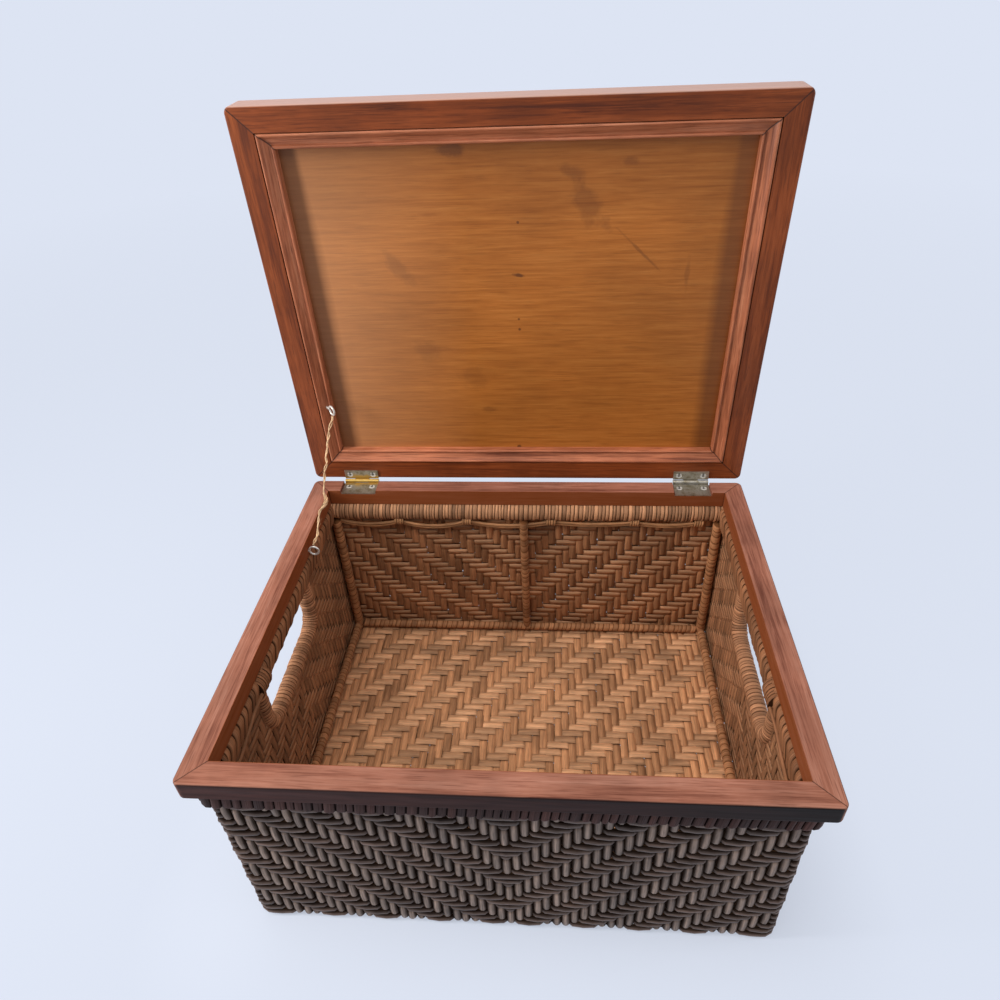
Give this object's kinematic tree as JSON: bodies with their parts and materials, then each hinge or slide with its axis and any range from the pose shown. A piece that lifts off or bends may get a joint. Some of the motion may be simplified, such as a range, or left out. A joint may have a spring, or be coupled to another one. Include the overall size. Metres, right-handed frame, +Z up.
{
  "type": "rattan storage box",
  "caption": "Woven rattan storage box with a wooden rim, hand-holds in its side walls and a framed lid that folds up on butt hinges and is held open by a stay cord.",
  "frame": {"origin": "middle of the underside that the box stands on", "axes": "+Z up, -Y towards the front, +X to the right of someone who faces the front; the lid stands open"},
  "size_m": [0.4, 0.346, 0.5072],
  "materials": {
    "rim_wood": "stained and waxed",
    "lid_wood": "stained and waxed",
    "moulding_wood": "stained and waxed",
    "plywood": "satin varnish",
    "woven_rattan": "split rattan, weathered outside",
    "border_rattan": "wrapped rattan strips",
    "rod_rattan": "wrapped rattan strips",
    "hinge_metal": "worn plated brass",
    "screw_metal": "plated steel",
    "eye_metal": "plated steel wire",
    "cord_fibre": "twisted plant fibre"
  },
  "bodies": {
    "base": {"rim_front_rail": "rim_wood", "weave_front": "woven_rattan", "border_outer_front": "border_rattan", "border_inner_front": "border_rattan", "floor_rod_front": "rod_rattan", "rim_back_rail": "rim_wood", "weave_back": "woven_rattan", "border_outer_back": "border_rattan", "border_inner_back": "border_rattan", "floor_rod_back": "rod_rattan", "rim_left_rail": "rim_wood", "weave_left": "woven_rattan", "border_outer_left": "border_rattan", "border_inner_left": "border_rattan", "floor_rod_left": "rod_rattan", "rim_right_rail": "rim_wood", "weave_right": "woven_rattan", "border_outer_right": "border_rattan", "border_inner_right": "border_rattan", "floor_rod_right": "rod_rattan", "centre_post_front": "rod_rattan", "corner_post_front_left": "rod_rattan", "corner_post_front_right": "rod_rattan", "centre_post_back": "rod_rattan", "corner_post_back_left": "rod_rattan", "corner_post_back_right": "rod_rattan", "hold_roll_left": "rod_rattan", "hinge_left_base_leaf": "hinge_metal", "hinge_left_pin": "hinge_metal", "hold_roll_right": "rod_rattan", "hinge_right_base_leaf": "hinge_metal", "hinge_right_pin": "hinge_metal", "weave_floor": "woven_rattan", "hinge_base_screws": "screw_metal", "screw_eye_base": "eye_metal", "stay_cord": "cord_fibre"},
    "lid": {"lid_front_rail": "lid_wood", "lid_front_bead": "moulding_wood", "lid_back_rail": "lid_wood", "lid_back_bead": "moulding_wood", "lid_left_rail": "lid_wood", "lid_left_bead": "moulding_wood", "lid_right_rail": "lid_wood", "lid_right_bead": "moulding_wood", "hinge_left_lid_leaf": "hinge_metal", "hinge_right_lid_leaf": "hinge_metal", "lid_weave": "woven_rattan", "lid_panel": "plywood", "hinge_lid_screws": "screw_metal", "screw_eye_lid": "eye_metal"}
  },
  "joints": [
    {"name": "lid_hinge", "type": "hinge", "parent": "base", "child": "lid", "pos_m": [0, 0.1622, 0.1844], "axis": [1, 0, 0], "range_deg": [0, 88], "deforming": ["stay_cord"]}
  ]
}
